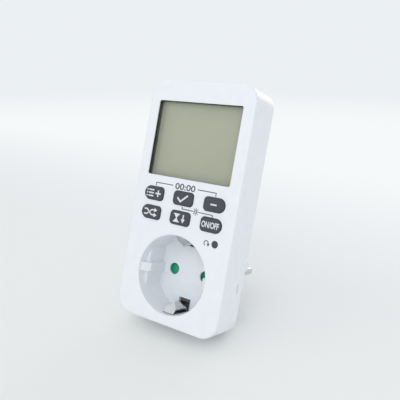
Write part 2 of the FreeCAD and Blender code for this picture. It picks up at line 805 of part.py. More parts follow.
# Earth: one strap with the two clips in the well and the two leaves beside the plug
def earth_clip_roof():
    """Pressed clip of the upper side: a ridge along its middle that points at the plug, open behind."""
    base = well_radius - 0.2
    ridge = well_radius - earth_clip_reach
    front = earth_slot_start + 0.5
    back = well_depth - 1.2
    along = [V(0, front, base), V(0, front + 4.2, ridge), V(0, front + 7.6, ridge), V(0, back, base - 1.0),
             V(0, back, base)]
    half = earth_width / 2
    across = [V(-half, 0, ridge + earth_clip_fall), V(0, 0, ridge), V(half, 0, ridge + earth_clip_fall),
              V(half, 0, base), V(-half, 0, base)]
    hump = Part.Face(Part.makePolygon(along + along[:1])).extrude(V(2 * half, 0, 0))
    hump.translate(V(-half, 0, 0))
    roof = Part.Face(Part.makePolygon(across + across[:1])).extrude(V(0, body_depth, 0))
    solid = hump.common(roof)
    inner = solid.copy()
    inner.translate(V(0, 0, earth_thickness))
    return solid.cut(inner)


def make_earth_strap():
    outer_z = well_radius + well_wall + 0.4
    leaf_z = plug_radius - earth_leaf_inset
    front = earth_slot_start + 0.5
    leaf_end = plug_face - 2.0
    parts = []
    for side in (-1, 1):
        arm = [
            (bridge_y + earth_thickness, leaf_z - 4),
            (bridge_y + earth_thickness, outer_z + earth_thickness),
            (front, outer_z + earth_thickness),
            (front, well_radius - 0.4),
        ]
        tail = block(-earth_width / 2, earth_width / 2, bridge_y, leaf_end, leaf_z - earth_thickness, leaf_z)
        tip = edges_at(tail, lambda p: abs(p.y - leaf_end) < 1e-6 and abs(p.z - leaf_z) < 1e-6)
        tail = tail.makeFillet(earth_thickness * 0.8, tip)
        half = fuse([strip(arm, earth_thickness, 0.0, earth_width), tail, earth_clip_roof()])
        if side < 0:
            half = half.mirror(V(0, 0, 0), V(0, 0, 1))
        parts.append(half)
    reach = leaf_z - 3
    parts.append(block(-earth_width / 2, earth_width / 2, bridge_y, bridge_y + earth_thickness, -reach, reach))
    return fuse(parts)


# Power board with the parts that feed the display and switch the load
def make_power_board():
    x = power_board_half_width
    board = plate(-x, x, power_board_low, power_board_high, 2.0, power_board_y, power_board_y + board_thickness)
    return board.cut(link_pin_row(link_pin_width * 0.8))


def make_film_capacitor():
    x = -power_board_half_width + film_edge_inset
    case = block(x, x + film_width, power_board_y - film_height, power_board_y - 0.5, film_low,
                 film_low + film_length)
    case = case.makeChamfer(0.5, edges_at(case, lambda p: p.y < power_board_y - 1))
    feet = [rod(lead_radius, power_board_y - 1.5, power_board_y, x + film_width / 2, film_low + z)
            for z in (1.5, film_length - 1.5)]
    return fuse([case] + feet)


def make_smoothing_capacitors():
    cans = []
    for z in can_rows:
        can = rod(can_radius, power_board_y - can_height, power_board_y - 0.4, can_x, z)
        can = can.makeChamfer(0.5, edges_at(can, lambda p: p.y < power_board_y - can_height + 0.1))
        feet = [rod(lead_radius, power_board_y - 1, power_board_y, can_x + dx, z)
                for dx in (-0.5 * can_lead_pitch, 0.5 * can_lead_pitch)]
        cans.append(fuse([can] + feet))
    return Part.makeCompound(cans)


def axial_part(radius, length, x, z):
    """Axial part lying across the board, with its two bent leads."""
    y = power_board_y - radius - 0.2
    body = Part.makeCylinder(radius, length, V(x, y, z), V(1, 0, 0))
    r = lead_radius
    wire = block(x - lead_reach, x + length + lead_reach, y - r, y + r, z - r, z + r)
    legs = [block(x + dx - r, x + dx + r, y - r, power_board_y, z - r, z + r)
            for dx in (-lead_reach, length + lead_reach)]
    return fuse([body, wire] + legs)


def make_diodes():
    return Part.makeCompound([axial_part(diode_radius, diode_length, diode_x, z) for z in diode_rows])


def make_resistors():
    return Part.makeCompound([axial_part(resistor_radius, resistor_length, resistor_x, z) for z in resistor_rows])


def make_regulator():
    back = power_board_y - regulator_lift
    front = back - regulator_height
    body = rod(regulator_radius, front, back, regulator_x, regulator_z)
    body = body.cut(block(regulator_x - regulator_radius, regulator_x + regulator_radius, front, back,
                          regulator_z + 0.5 * regulator_radius, regulator_z + regulator_radius))
    legs = [block(regulator_x + dx - 0.25, regulator_x + dx + 0.25, back, power_board_y, regulator_z - 0.25,
                  regulator_z + 0.25) for dx in (-regulator_lead_pitch, 0.0, regulator_lead_pitch)]
    return fuse([body] + legs)


# Relay: base, case, coil, yoke with core, hinged armature with its contact, and the fixed contact
relay_floor = power_board_y - relay_base_thickness
relay_front = power_board_y - relay_height
relay_high = relay_low + relay_length
contact_room = 2.5
yoke_thickness = 1.2
coil_front = relay_front + relay_wall + contact_room
coil_back = relay_floor - yoke_thickness
coil_mid_y = (coil_front + coil_back) / 2
coil_half = (coil_back - coil_front) / 2
coil_low = relay_low + 2.6
coil_high = relay_low + 17.2
armature_z = relay_low + 18.6
armature_thickness = 1.0
rivet_radius = 0.7
core_radius = 1.7
flange_thickness = 0.8


def make_relay_case():
    half = relay_width / 2
    outer = block(relay_x - half, relay_x + half, relay_front, power_board_y - 0.3, relay_low, relay_high)
    outer = outer.makeChamfer(0.4, edges_at(outer, lambda p: p.y < relay_front + 0.1))
    inner = block(relay_x - half + relay_wall, relay_x + half - relay_wall, relay_front + relay_wall,
                  power_board_y, relay_low + relay_wall, relay_high - relay_wall)
    return outer.cut(inner)


def make_relay_base():
    half = relay_width / 2 - relay_wall - 0.05
    base = block(relay_x - half, relay_x + half, relay_floor, power_board_y, relay_low + relay_wall + 0.05,
                 relay_high - relay_wall - 0.05)
    return base


def make_relay_coil():
    flange = relay_width / 2 - relay_wall - 1.45
    parts = [
        block(relay_x - flange, relay_x + flange, coil_front, coil_back, coil_low, coil_low + flange_thickness),
        block(relay_x - flange, relay_x + flange, coil_front, coil_back, coil_high - flange_thickness, coil_high),
        Part.makeCylinder(coil_half - flange_thickness, coil_high - coil_low, V(relay_x, coil_mid_y, coil_low),
                          V(0, 0, 1)),
    ]
    hole = Part.makeCylinder(core_radius + press_gap, relay_length, V(relay_x, coil_mid_y, relay_low), V(0, 0, 1))
    return fuse(parts).cut(hole)


def make_relay_yoke():
    core = Part.makeCylinder(core_radius, armature_z - 0.5 - coil_low + 1.4, V(relay_x, coil_mid_y, coil_low - 1.4),
                             V(0, 0, 1))
    back = block(relay_x - 3.5, relay_x + 3.5, coil_mid_y - 3, relay_floor, coil_low - 1.4, coil_low - 0.1)
    arm = block(relay_x - 3.5, relay_x + 3.5, coil_back, relay_floor, coil_low - 1.4, armature_z - 0.2)
    return fuse([core, back, arm])


def make_relay_armature():
    free_end = relay_front + relay_wall + 0.7
    plate_part = block(relay_x - 4, relay_x + 4, free_end, relay_floor - 0.3, armature_z,
                       armature_z + armature_thickness)
    contact = Part.makeCylinder(rivet_radius, 0.8, V(relay_x, free_end + 0.9, armature_z - 0.8), V(0, 0, 1))
    return fuse([plate_part, contact])


def make_relay_fixed_contact():
    free_end = relay_front + relay_wall + 0.7
    level = armature_z - 0.8 - 0.9
    side_x = relay_x + relay_width / 2 - relay_wall - 0.15
    post = block(side_x - 0.5, side_x, relay_front + relay_wall + 0.4, relay_floor, level - 3.2, level - 0.4)
    tab = block(relay_x - 1.2, side_x, relay_front + relay_wall + 0.4, coil_front - 0.2, level - 1.1, level - 0.4)
    rivet = Part.makeCylinder(rivet_radius, 0.4, V(relay_x, free_end + 0.9, level - 0.4), V(0, 0, 1))
    return fuse([post, tab, rivet])


parts = {
    "front_cover": make_front_cover(),
    "rear_cover": make_rear_cover(),
    "cover_screws": make_cover_screws(),
    "lcd_window": make_lcd_window(),
    "lcd_panel": make_lcd_panel(),
    "lcd_frame": make_lcd_frame(),
    "zebra_strips": make_zebra_strips(),
    "display_board": make_display_board(),
    "board_screws": make_board_screws(),
    "microcontroller": make_microcontroller(),
    "crystal": make_crystal(),
    "backup_battery": make_backup_battery(),
    "battery_tabs": make_battery_tabs(),
    "link_pins": make_link_pins(),
    "link_strip": make_link_strip(),
    "keypad_mat": make_keypad_mat(),
    "key_program": make_key(0, 0),
    "key_set": make_key(1, 0),
    "key_minus": make_key(2, 0),
    "key_random": make_key(0, 1),
    "key_countdown": make_key(1, 1),
    "key_manual": make_key(2, 1),
    "reset_key": make_reset_key(),
    "reset_pad": make_reset_pad(),
    "shutter": make_shutter(),
    "shutter_spring": make_shutter_spring(),
    "contact_carrier": make_contact_carrier(),
    "live_contact": make_live_contact(),
    "neutral_contact": make_neutral_contact(),
    "live_strap": make_live_strap(),
    "plug_pin_live": make_plug_pin(1),
    "plug_pin_neutral": make_plug_pin(-1),
    "earth_strap": make_earth_strap(),
    "power_board": make_power_board(),
    "film_capacitor": make_film_capacitor(),
    "smoothing_capacitors": make_smoothing_capacitors(),
    "diodes": make_diodes(),
    "resistors": make_resistors(),
    "regulator": make_regulator(),
    "relay_case": make_relay_case(),
    "relay_base": make_relay_base(),
    "relay_coil": make_relay_coil(),
    "relay_yoke": make_relay_yoke(),
    "relay_armature": make_relay_armature(),
    "relay_fixed_contact": make_relay_fixed_contact(),
}

os.makedirs("parts", exist_ok=True)
for name, shape in parts.items():
    if not shape.isValid():
        print("not valid:", name)
    shape.exportStep("parts/" + name + ".step")
    print(name, len(shape.Solids), round(shape.Volume, 1))
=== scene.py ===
import math

import bmesh
import bpy
from mathutils import Matrix, Vector


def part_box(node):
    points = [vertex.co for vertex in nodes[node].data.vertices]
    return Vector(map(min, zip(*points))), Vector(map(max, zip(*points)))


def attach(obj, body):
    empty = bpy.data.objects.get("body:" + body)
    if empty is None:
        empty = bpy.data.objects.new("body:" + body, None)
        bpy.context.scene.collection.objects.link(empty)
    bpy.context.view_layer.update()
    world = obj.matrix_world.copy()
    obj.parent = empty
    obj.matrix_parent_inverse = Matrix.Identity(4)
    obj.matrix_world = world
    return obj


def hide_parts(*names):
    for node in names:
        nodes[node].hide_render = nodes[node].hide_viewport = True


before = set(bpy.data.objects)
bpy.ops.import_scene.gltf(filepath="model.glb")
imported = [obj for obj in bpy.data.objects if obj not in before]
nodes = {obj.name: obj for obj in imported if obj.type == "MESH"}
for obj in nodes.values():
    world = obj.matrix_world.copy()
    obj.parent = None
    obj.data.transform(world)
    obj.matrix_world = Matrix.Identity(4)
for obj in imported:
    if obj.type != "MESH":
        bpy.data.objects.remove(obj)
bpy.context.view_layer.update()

mm = 0.001


# Front cover and rear cover: the two halves of the housing, injection moulded in white ABS with a
# spark-eroded, faintly grained skin, snapped together at the sides and held by four screws.
def linear(code):
    """Linear colour of an sRGB hex code."""
    channels = [int(code[at:at + 2], 16) / 255 for at in (1, 3, 5)]
    return [c / 12.92 if c <= 0.04045 else ((c + 0.055) / 1.055) ** 2.4 for c in channels] + [1.0]


def add(tree, kind, inputs=None, **settings):
    """Adds a node with its settings; an input is a value, or a socket that is linked to it."""
    node = tree.nodes.new(kind)
    for name, value in settings.items():
        setattr(node, name, value)
    for name, value in (inputs or {}).items():
        if isinstance(value, bpy.types.NodeSocket):
            tree.links.new(value, node.inputs[name])
        else:
            node.inputs[name].default_value = value
    return node


# Sockets of a Mix node that mixes colours, by their place: the two colours and the result
mix_a, mix_b, mixed = 6, 7, 2


def new_material(name, colour, roughness, **sockets):
    """Material with one surface shader; a colour is a hex code, other sockets go by their names."""
    material = bpy.data.materials.new(name)
    material.use_nodes = True
    shader = material.node_tree.nodes["Principled BSDF"]
    shader.inputs["Base Color"].default_value = linear(colour)
    shader.inputs["Roughness"].default_value = roughness
    for socket, value in sockets.items():
        shader.inputs[socket.replace("_", " ")].default_value = value
    return material


def grained(material, grain, depth, dark, light, stretch=(1.0, 1.0, 1.0), worn=0.05):
    """Grain of a real size in mm: colour between two codes, roughness that wanders, and fine relief.

    Roughness wanders by worn, in clouds of 25 grains."""
    tree = material.node_tree
    shader = tree.nodes["Principled BSDF"]
    place = add(tree, "ShaderNodeTexCoord").outputs["Object"]
    turned = add(tree, "ShaderNodeMapping", {"Vector": place, "Scale": stretch}).outputs["Vector"]
    cloud = 25 * grain
    fine = add(tree, "ShaderNodeTexNoise", {"Vector": turned, "Scale": 1 / (grain * mm), "Detail": 3.0})
    broad = add(tree, "ShaderNodeTexNoise", {"Vector": turned, "Scale": 1 / (cloud * mm), "Detail": 2.0})
    both = add(tree, "ShaderNodeMath", {0: fine.outputs["Fac"], 1: broad.outputs["Fac"]}, operation="ADD")
    shade = add(tree, "ShaderNodeMapRange", {"Value": both.outputs[0], "From Min": 0.6, "From Max": 1.4})
    colour = add(tree, "ShaderNodeMix", {"Factor": shade.outputs["Result"], mix_a: linear(dark),
                                         mix_b: linear(light)}, data_type="RGBA")
    tree.links.new(colour.outputs[mixed], shader.inputs["Base Color"])
    base = shader.inputs["Roughness"].default_value
    smoothest = 0.02
    rough = add(tree, "ShaderNodeMapRange", {"Value": broad.outputs["Fac"], "From Min": 0.3, "From Max": 0.7,
                                             "To Min": max(smoothest, base - worn), "To Max": base + worn})
    tree.links.new(rough.outputs["Result"], shader.inputs["Roughness"])
    relief = add(tree, "ShaderNodeBump", {"Height": fine.outputs["Fac"], "Strength": 0.5,
                                          "Distance": depth * mm})
    tree.links.new(relief.outputs["Normal"], shader.inputs["Normal"])
    return material


def dress(names, material):
    """Gives CAD nodes of the right shape their finish."""
    for name in names:
        node = nodes[name]
        node.data.materials.clear()
        node.data.materials.append(material)


def smoothed(node, piece, body, material, crease=28):
    """Merged copy of a CAD node with smooth curves, standing for that node.

    Faces that meet at more than crease degrees keep a sharp edge."""
    weld = 0.002
    shape = bmesh.new()
    shape.from_mesh(nodes[node].data)
    bmesh.ops.remove_doubles(shape, verts=shape.verts, dist=weld * mm)
    mesh = bpy.data.meshes.new(piece)
    shape.to_mesh(mesh)
    shape.free()
    if "custom_normal" in mesh.attributes:
        mesh.attributes.remove(mesh.attributes["custom_normal"])
    mesh.materials.clear()
    mesh.materials.append(material)
    mesh.shade_smooth()
    mesh.set_sharp_from_angle(angle=math.radians(crease))
    made = bpy.data.objects.new(piece, mesh)
    bpy.context.scene.collection.objects.link(made)
    even = made.modifiers.new("even_shading", "WEIGHTED_NORMAL")
    even.keep_sharp = True
    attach(made, body)
    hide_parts(node)


# White ABS: the moulded grain is about 0.2 mm and only softens the gloss
white_abs = grained(new_material("moulded_white_abs", "#ECF0F4", 0.34, IOR=1.54),
                    0.2, 0.004, "#E9EDF2", "#EFF3F7")
smoothed("front_cover", "front_housing", "housing", white_abs)
smoothed("rear_cover", "rear_housing", "housing", white_abs, crease=35)


# Screws: round heads of zinc plated steel, cold formed. Four with a cross recess are driven into the
# posts of the front cover from behind, and four small ones hold the display board.
zinc_steel = grained(new_material("zinc_plated_steel", "#B9BDC0", 0.32, Metallic=1.0),
                     0.15, 0.003, "#A9ADB1", "#C6C9CC")
smoothed("cover_screws", "housing_screws", "housing", zinc_steel)
dress(["board_screws"], zinc_steel)


# Display window: a clear acrylic plate, moulded, so that its faces waver very slightly. It lies in the
# rebate behind the face. Its low alpha lets the light of the lamps through to the display.
window_acrylic = new_material("clear_acrylic", "#FFFFFF", 0.03, IOR=1.49, Alpha=0.15,
                              Transmission_Weight=1.0)
window_tree = window_acrylic.node_tree
window_place = add(window_tree, "ShaderNodeTexCoord").outputs["Object"]
waver, waver_depth = 9, 0.02
wave = add(window_tree, "ShaderNodeTexNoise", {"Vector": window_place, "Scale": 1 / (waver * mm)})
window_relief = add(window_tree, "ShaderNodeBump", {"Height": wave.outputs["Fac"], "Strength": 0.2,
                                                    "Distance": waver_depth * mm})
window_tree.links.new(window_relief.outputs["Normal"],
                      window_tree.nodes["Principled BSDF"].inputs["Normal"])
dress(["lcd_window"], window_acrylic)

# Display glass: two sheets of glass with a polariser film on the front, held by the display frame.
# Switched off, it shows a flat grey green, and its matt film mirrors nothing sharply.
lcd_film = grained(new_material("matt_polariser_film", "#ADB09C", 0.42, IOR=1.5),
                   0.5, 0.0002, "#ABAE9A", "#AFB29E")
dress(["lcd_panel"], lcd_film)

# Display frame: moulded in black ABS, it stands behind the window and holds the glass. Two strips of
# striped rubber, conducting and plain by turns, are pressed between the glass and the display board.
black_abs = grained(new_material("moulded_black_abs", "#2B2C2E", 0.5, IOR=1.54),
                    0.2, 0.004, "#232426", "#333437")
dress(["lcd_frame"], black_abs)


def banded(pitch):
    """Scale at which the bands of a wave texture repeat every pitch mm."""
    return 2 * math.pi / (20 * pitch * mm)


zebra = new_material("striped_contact_rubber", "#8A8A8C", 0.7)
zebra_tree = zebra.node_tree
zebra_place = add(zebra_tree, "ShaderNodeTexCoord").outputs["Object"]
# The real stripes are 0.05 mm apart; 0.5 mm is as fine as they show
stripes = add(zebra_tree, "ShaderNodeTexWave", {"Vector": zebra_place, "Scale": banded(0.5)},
              bands_direction="X")
stripe_colour = add(zebra_tree, "ShaderNodeMix", {"Factor": stripes.outputs["Fac"], mix_a: linear("#2A2A2C"),
                                                  mix_b: linear("#C9C4BE")}, data_type="RGBA")
zebra_tree.links.new(stripe_colour.outputs[mixed],
                     zebra_tree.nodes["Principled BSDF"].inputs["Base Color"])
dress(["zebra_strips"], zebra)


# Keys: six caps of dark grey silicone rubber with eased edges, each moulded in one with its flange and
# stem, and white signs printed on them. The signs are plain ones: a list and a plus, a tick, a minus,
# crossed arrows, an hourglass with an arrow, and ON/OFF.
key_silicone = grained(new_material("dark_silicone_rubber", "#45484E", 0.48, IOR=1.41),
                       0.12, 0.003, "#404349", "#4B4E54")
white_ink = grained(new_material("white_pad_print", "#DDE1E5", 0.55), 0.2, 0.002, "#D6DADF", "#E4E7EA")
key_names = ["program", "set", "minus", "random", "countdown", "manual"]
for name in key_names:
    smoothed("key_" + name, "rubber_key_" + name, "key_" + name, key_silicone, crease=50)

# Prints are drawn in mm, x to the right and z up. The ink stands 0.01 mm proud of the surface at y, and
# is sunk as deep into it, so that no gap shows.
ink_depth = 0.01


def patch(shape, points, y):
    """Ink inside one outline with straight sides."""
    corners = [shape.verts.new(Vector((x, y - ink_depth, z)) * mm) for x, z in points]
    face = shape.faces.new(corners)
    grown = bmesh.ops.extrude_face_region(shape, geom=[face])
    moved = [v for v in grown["geom"] if isinstance(v, bmesh.types.BMVert)]
    bmesh.ops.translate(shape, verts=moved, vec=(0, 2 * ink_depth * mm, 0))


def stroke(shape, points, width, y, head=0.0):
    """Ink line through the points with mitred corners, as one outline, and an arrow head at its end."""
    path = [Vector(point) for point in points]
    ways = [(b - a).normalized() for a, b in zip(path, path[1:])]
    normals = [Vector((-way.y, way.x)) for way in ways]
    mitres = [normals[0]]
    for before, after in zip(normals, normals[1:]):
        mitres.append((before + after) / (1 + before.dot(after)))
    mitres.append(normals[-1])
    left = [point + mitre * width / 2 for point, mitre in zip(path, mitres)]
    right = [point - mitre * width / 2 for point, mitre in zip(path, mitres)]
    tip = []
    barb_share = 0.6
    if head:
        end, barb = path[-1], normals[-1] * head * barb_share
        tip = [end + barb, end + ways[-1] * head, end - barb]
    patch(shape, left + tip + right[::-1], y)


def ring(shape, centre, radius, width, y):
    """Round ink line, closed."""
    x, z = centre
    inner, outer = radius - width / 2, radius + width / 2
    spots = ((inner, -ink_depth), (outer, -ink_depth), (outer, ink_depth), (inner, ink_depth))
    corners = [shape.verts.new(Vector((x + reach, y + depth, z)) * mm) for reach, depth in spots]
    edges = [shape.edges.new((corners[at - 1], corners[at])) for at in range(4)]
    bmesh.ops.spin(shape, geom=edges + corners, cent=Vector((x, y, z)) * mm, axis=(0, -1, 0),
                   angle=2 * math.pi, steps=32, use_merge=True)


def words(shape, text, centre, height, y, spread=1.0, bold=0.01):
    """Plain figures or letters, made a mesh and then placed: spread widens them, bold thickens them."""
    curve = bpy.data.curves.new("figures", "FONT")
    curve.body = text
    curve.align_x = "CENTER"
    curve.align_y = "CENTER"
    curve.offset = bold
    curve.extrude = 0.01
    holder = bpy.data.objects.new("figures", curve)
    bpy.context.scene.collection.objects.link(holder)
    bpy.context.view_layer.update()
    flat = bpy.data.meshes.new_from_object(holder.evaluated_get(bpy.context.evaluated_depsgraph_get()))
    bpy.data.objects.remove(holder)
    across = [v.co.x for v in flat.vertices]
    upward = [v.co.y for v in flat.vertices]
    middle = ((max(across) + min(across)) / 2, (max(upward) + min(upward)) / 2)
    scale = height / (max(upward) - min(upward))
    flat.transform(Matrix.Translation((-middle[0], -middle[1], 0)))
    flat.transform(Matrix.Diagonal((scale * spread, scale, ink_depth / curve.extrude, 1)))
    flat.transform(Matrix.Rotation(math.radians(90), 4, "X"))
    flat.transform(Matrix.Translation((centre[0], y, centre[1])))
    flat.transform(Matrix.Scale(mm, 4))
    shape.from_mesh(flat)
    bpy.data.meshes.remove(flat)


def printed(name, shape, body, material):
    """Finishes a print and fixes it to the piece it is printed on."""
    weld = 0.0005
    bmesh.ops.remove_doubles(shape, verts=shape.verts, dist=weld * mm)
    bmesh.ops.recalc_face_normals(shape, faces=shape.faces)
    mesh = bpy.data.meshes.new(name)
    shape.to_mesh(mesh)
    shape.free()
    mesh.materials.append(material)
    made = bpy.data.objects.new(name, mesh)
    bpy.context.scene.collection.objects.link(made)
    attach(made, body)


# Middle of each cap and the place of its face, in mm. The signs are laid out from that middle.
key_middle = {}
for name in key_names:
    low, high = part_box("key_" + name)
    middle = (low + high) / 2 / mm
    key_middle[name] = (middle.x, middle.z, low.y / mm)

# List and plus
x, z, y = key_middle["program"]
sign = bmesh.new()
row_pitch, row_width = 1.5, 0.7
for row in (z - row_pitch, z, z + row_pitch):
    stroke(sign, [(x - 4.2, row), (x - 3.5, row)], row_width, y)
    stroke(sign, [(x - 2.9, row), (x + 0.2, row)], row_width, y)
plus_x, arm, half = x + 2.85, 1.65, 0.38
quarter = [(arm, -half), (arm, half), (half, half)]
plus = [(plus_x + a * c - b * s, z + a * s + b * c)
        for c, s in ((1, 0), (0, 1), (-1, 0), (0, -1)) for a, b in quarter]
patch(sign, plus, y)
printed("sign_program", sign, "key_program", white_ink)

# Tick
x, z, y = key_middle["set"]
sign = bmesh.new()
tick_width = 0.85
stroke(sign, [(x - 2.9, z + 0.2), (x - 1.0, z - 1.6), (x + 2.9, z + 1.8)], tick_width, y)
printed("sign_set", sign, "key_set", white_ink)

# Minus
x, z, y = key_middle["minus"]
sign = bmesh.new()
minus_reach, minus_width = 1.7, 0.75
stroke(sign, [(x - minus_reach, z), (x + minus_reach, z)], minus_width, y)
printed("sign_minus", sign, "key_minus", white_ink)

# Crossed arrows: the rising one is broken where the other crosses it
x, z, y = key_middle["random"]
sign = bmesh.new()
high_z, low_z = z + 1.25, z - 1.25
start, cross_in, cross_out, end = x - 3.9, x - 2.1, x + 0.8, x + 2.3
arrow_width, arrow_head = 0.68, 1.85
stroke(sign, [(start, high_z), (cross_in, high_z), (cross_out, low_z), (end, low_z)], arrow_width, y,
       head=arrow_head)
foot, top = Vector((cross_in, low_z)), Vector((cross_out, high_z))
break_start, break_end = 0.33, 0.67
stroke(sign, [(start, low_z), (cross_in, low_z), foot.lerp(top, break_start)], arrow_width, y)
stroke(sign, [foot.lerp(top, break_end), (cross_out, high_z), (end, high_z)], arrow_width, y,
       head=arrow_head)
printed("sign_random", sign, "key_random", white_ink)

# Hourglass and an arrow down
x, z, y = key_middle["countdown"]
sign = bmesh.new()
half_glass = [(1.75, 2.15), (1.75, 1.55), (1.3, 1.55), (0.2, 0.0),
              (1.3, -1.55), (1.75, -1.55), (1.75, -2.15)]
glass = half_glass + [(-a, b) for a, b in reversed(half_glass)]
glass_x, arrow_x = x - 1.6, x + 2.3
patch(sign, [(glass_x + a, z + b) for a, b in glass], y)
stroke(sign, [(arrow_x, z + 2.0), (arrow_x, z - 0.2)], 0.75, y, head=1.95)
printed("sign_countdown", sign, "key_countdown", white_ink)

# ON/OFF
x, z, y = key_middle["manual"]
sign = bmesh.new()
words(sign, "ON/OFF", (x, z), 3.0, y, spread=0.66, bold=0.03)
printed("sign_manual", sign, "key_manual", white_ink)


# Face print: thin grey lines that join the keys to the clock figures above and to the sun sign
# between the rows, and a turned arrow beside the reset key.
grey_ink = grained(new_material("grey_pad_print", "#575B61", 0.55), 0.2, 0.002, "#52565C", "#5C6066")
face_y = 0
clock_z, sun_z = 43.6, 33.05
line_width = 0.45
lines = bmesh.new()
for points in ([(-17.5, 41.9), (-17.5, clock_z), (-7.2, clock_z)],
               [(7.2, clock_z), (17.6, clock_z), (17.6, 41.9)],
               [(0.2, 34.2), (0.2, sun_z), (6.3, sun_z)],
               [(10.2, sun_z), (17.6, sun_z), (17.6, 32.0)]):
    stroke(lines, points, line_width, face_y)
printed("key_brackets", lines, "housing", grey_ink)

clock = bmesh.new()
words(clock, "00:00", (0.0, clock_z), 3.1, face_y, spread=1.28, bold=0.02)
printed("clock_figures", clock, "housing", grey_ink)

sun = bmesh.new()
sun_middle = Vector((8.2, sun_z))
disc_radius, disc_width = 0.65, 0.5
ray_start, ray_end, ray_width = 1.15, 1.85, 0.42
ring(sun, sun_middle, disc_radius, disc_width, face_y)
for index in range(8):
    ray = Vector((math.cos(index * math.pi / 4), math.sin(index * math.pi / 4)))
    stroke(sun, [sun_middle + ray * ray_start, sun_middle + ray * ray_end], ray_width, face_y)
printed("sun_sign", sun, "housing", grey_ink)

turned_arrow = bmesh.new()
turn_middle, turn_radius = Vector((16.8, 19.7)), 1.15
bend = [math.radians(250 - 10 * index) for index in range(26)]
turn = [turn_middle + Vector((math.cos(a), math.sin(a))) * turn_radius for a in bend]
stroke(turned_arrow, turn, line_width, face_y, head=1.5)
printed("reset_sign", turned_arrow, "housing", grey_ink)


# Reset key: a small round pin of the same dark rubber, sunk below the face. The mat behind the six keys
# and the collar behind this one are moulded in lighter grey silicone and spring the keys back.
smoothed("reset_key", "rubber_reset_key", "reset_key", key_silicone)
mat_silicone = grained(new_material("grey_silicone_mat", "#6F7276", 0.6, IOR=1.41),
                       0.15, 0.003, "#696C70", "#76797D")
dress(["keypad_mat", "reset_pad"], mat_silicone)


# Shutter: a green polyamide disc of two lobes that hides both contacts, on its pin behind the well,
# turned back by a flat spring of stainless steel.
green_nylon = grained(new_material("moulded_green_nylon", "#2FB389", 0.45, IOR=1.53),
                      0.2, 0.004, "#2BAA81", "#35BC92")
smoothed("shutter", "green_shutter", "shutter", green_nylon)
spring_steel = grained(new_material("rolled_spring_steel", "#A9ACAF", 0.3, Metallic=1.0),
                       0.1, 0.002, "#9DA0A4", "#B4B7BA", stretch=(0.1, 1.0, 1.0))
dress(["shutter_spring"], spring_steel)


# Earth strap: one bent strip of nickel plated spring bronze, its clips in the well and its leaves at
# the plug. The rolling marks run along the strip.
earth_metal = grained(new_material("nickel_plated_bronze", "#C6C8CA", 0.26, Metallic=1.0),
                      0.12, 0.002, "#BBBDBF", "#D0D2D4", stretch=(1.0, 0.12, 0.12))
smoothed("earth_strap", "earth_clips", "housing", earth_metal)

# Plug pins: turned brass, nickel plated and polished, pressed into the plug from inside.
plated_pin = grained(new_material("polished_nickel_plate", "#D4D4D2", 0.18, Metallic=1.0),
                     0.1, 0.001, "#CBCBC9", "#DCDCDA", stretch=(1.0, 0.2, 1.0))
smoothed("plug_pin_live", "nickel_pin_live", "housing", plated_pin)
smoothed("plug_pin_neutral", "nickel_pin_neutral", "housing", plated_pin)

# Contacts and strap: strip of bare brass with its dull yellow tint, stamped and rolled into split tubes
# behind the pin holes, with tails and a strap that run up to the power board.
stamped_brass = grained(new_material("stamped_brass", "#C9A65A", 0.33, Metallic=1.0),
                        0.12, 0.002, "#B89648", "#D6B56B", stretch=(1.0, 1.0, 0.12))
dress(["live_contact", "neutral_contact", "live_strap"], stamped_brass)

# Contact carrier: moulded in grey, glass filled polyamide with a slightly mottled skin. It sits between
# the well and the plug and holds both contacts and the earth strap.
carrier_nylon = grained(new_material("glass_filled_nylon", "#5F6266", 0.6, IOR=1.53),
                        0.35, 0.01, "#595C60", "#66696D")
dress(["contact_carrier"], carrier_nylon)


# Boards: glass epoxy under green solder mask, the front one screwed down and the rear one on posts. The
# weave shows faintly through the mask. Real threads lie 0.6 to 0.8 mm apart, and 0.9 mm lets them show.
board_mask = new_material("green_solder_mask", "#1E6B3C", 0.32, IOR=1.55, Coat_Weight=0.4)
board_tree = board_mask.node_tree
board_place = add(board_tree, "ShaderNodeTexCoord").outputs["Object"]
threads = [add(board_tree, "ShaderNodeTexWave", {"Vector": board_place, "Scale": banded(0.9)},
               bands_direction=direction).outputs["Fac"] for direction in ("X", "Z")]
weave = add(board_tree, "ShaderNodeMath", {0: threads[0], 1: threads[1]}, operation="MULTIPLY")
mask_colour = add(board_tree, "ShaderNodeMix", {"Factor": weave.outputs[0], mix_a: linear("#1B6237"),
                                                mix_b: linear("#267A47")}, data_type="RGBA")
board_tree.links.new(mask_colour.outputs[mixed],
                     board_tree.nodes["Principled BSDF"].inputs["Base Color"])
dress(["display_board", "power_board"], board_mask)

# Chip, link strip and regulator: mouldings of black epoxy, matt from the mould. The strip carries the
# link pins between the two boards.
black_epoxy = grained(new_material("black_epoxy", "#1D1E20", 0.62), 0.2, 0.004, "#191A1C", "#232427")
dress(["microcontroller", "link_strip", "regulator"], black_epoxy)

# Crystal, cell and tabs: drawn and nickel plated steel with fine draw marks. The link pins are square
# wire, flashed with gold.
drawn_metal = grained(new_material("drawn_nickel_steel", "#BFC0BE", 0.28, Metallic=1.0),
                      0.12, 0.002, "#B1B2B0", "#CBCCCA", stretch=(1.0, 1.0, 0.15))
dress(["crystal", "backup_battery", "battery_tabs"], drawn_metal)
gold_pin = grained(new_material("gold_flashed_pin", "#D9B25E", 0.25, Metallic=1.0),
                   0.1, 0.001, "#CDA450", "#E3BF70")
dress(["link_pins"], gold_pin)

